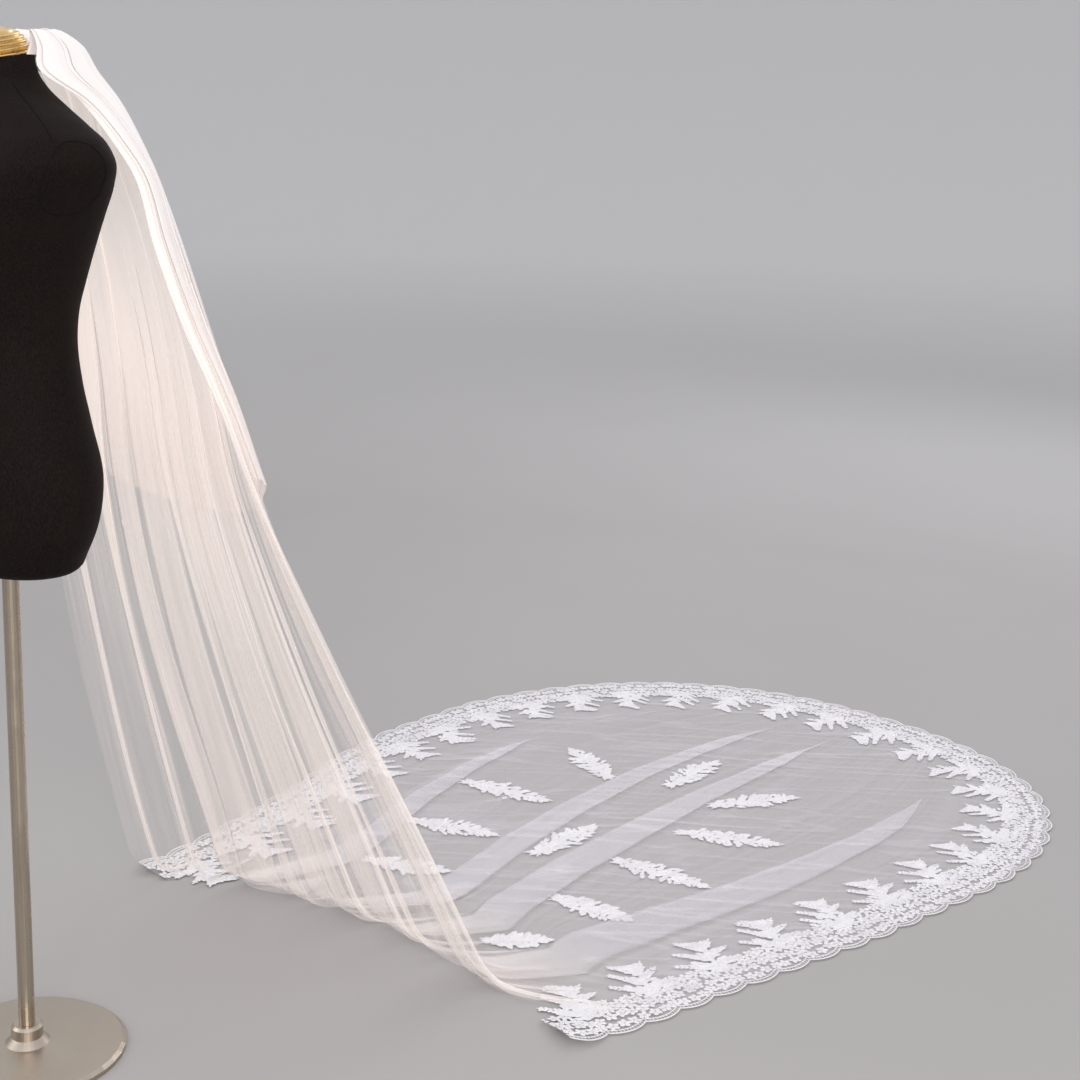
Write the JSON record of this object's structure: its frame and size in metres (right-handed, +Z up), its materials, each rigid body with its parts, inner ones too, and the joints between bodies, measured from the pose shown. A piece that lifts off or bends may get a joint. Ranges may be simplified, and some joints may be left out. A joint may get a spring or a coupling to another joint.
{
  "type": "bridal veil on dress form",
  "caption": "Cathedral-length tulle bridal veil with a scalloped lace border and appliqué sprays, hanging from a comb on a limbless dress form, its train laid out on the floor.",
  "frame": {"origin": "centre of the underside of the stand's base, on the pole's axis", "axes": "+Z up along the pole, the dress form faces -Y and the train trails along +Y"},
  "size_m": [1.4207, 2.4117, 1.557],
  "materials": {
    "tulle": "soft ivory net, see-through",
    "lace": "matte corded lace, off-white",
    "jersey": "matte black knit",
    "turned_gold": "gilt, turned and ridged",
    "stand_metal": "polished, warm grey",
    "comb_clear": "clear moulded plastic"
  },
  "bodies": {
    "root": {"dress_form_torso": "jersey", "neck_ring": "turned_gold", "neck_cap": "turned_gold", "stand_pole": "stand_metal", "stand_base": "stand_metal", "comb": "comb_clear", "gathering_band": "tulle", "long_tier_hang": "tulle", "short_tier": "tulle", "long_tier_train": "tulle", "border_far_corner": "lace", "border_far_side": "lace", "border_end": "lace", "border_near_side": "lace", "border_near_corner": "lace", "spray_a": "lace", "spray_b": "lace", "spray_c": "lace", "spray_d": "lace", "spray_e": "lace", "spray_f": "lace", "spray_g": "lace", "spray_h": "lace", "spray_i": "lace", "spray_j": "lace", "spray_k": "lace"}
  },
  "joints": []
}
